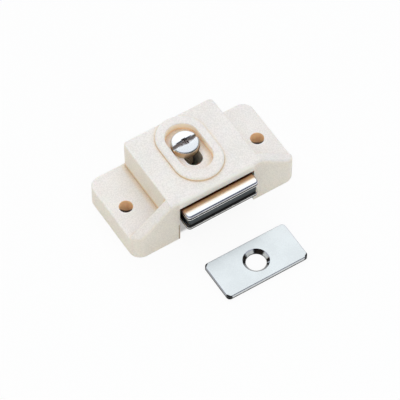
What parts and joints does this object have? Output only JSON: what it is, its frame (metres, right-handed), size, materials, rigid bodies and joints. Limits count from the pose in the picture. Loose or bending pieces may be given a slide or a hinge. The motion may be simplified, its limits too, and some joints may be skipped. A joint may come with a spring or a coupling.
{
  "type": "magnetic catch",
  "caption": "Cabinet magnetic catch: moulded housing with end flanges, sliding magnet between steel pole plates, clamp screw in a slot, and a flat steel strike plate.",
  "frame": {"origin": "midway between the two fixing holes, on the mounting plane", "axes": "+X along the catch through both fixing holes, +Z out of the cabinet wall through the block, poles facing -Y"},
  "size_m": [0.049, 0.0467, 0.0164],
  "materials": {
    "housing_plastic": "fine matte moulding, warm ivory",
    "pole_steel": "bright nickel plate on blanked steel",
    "magnet_ferrite": "ground sintered ferrite, dark grey",
    "screw_steel": "bright zinc plate",
    "strike_steel": "satin zinc plate with a bluish cast"
  },
  "bodies": {
    "housing_body": {"housing": "housing_plastic", "strike_plate": "strike_steel"},
    "magnet_unit": {"upper_pole_plate": "pole_steel", "magnet": "magnet_ferrite", "lower_pole_plate": "pole_steel"},
    "clamp": {"clamp_screw": "screw_steel"}
  },
  "joints": [
    {"name": "magnet_slide", "type": "slide", "parent": "housing_body", "child": "magnet_unit", "axis": [0, -1, 0], "range_m": [-0.0005, 0.00415]},
    {"name": "clamp_screw_turn", "type": "hinge", "parent": "magnet_unit", "child": "clamp", "pos_m": [0, 0.0032, 0.0141], "axis": [0, 0, 1], "range_deg": [0, 360]}
  ]
}
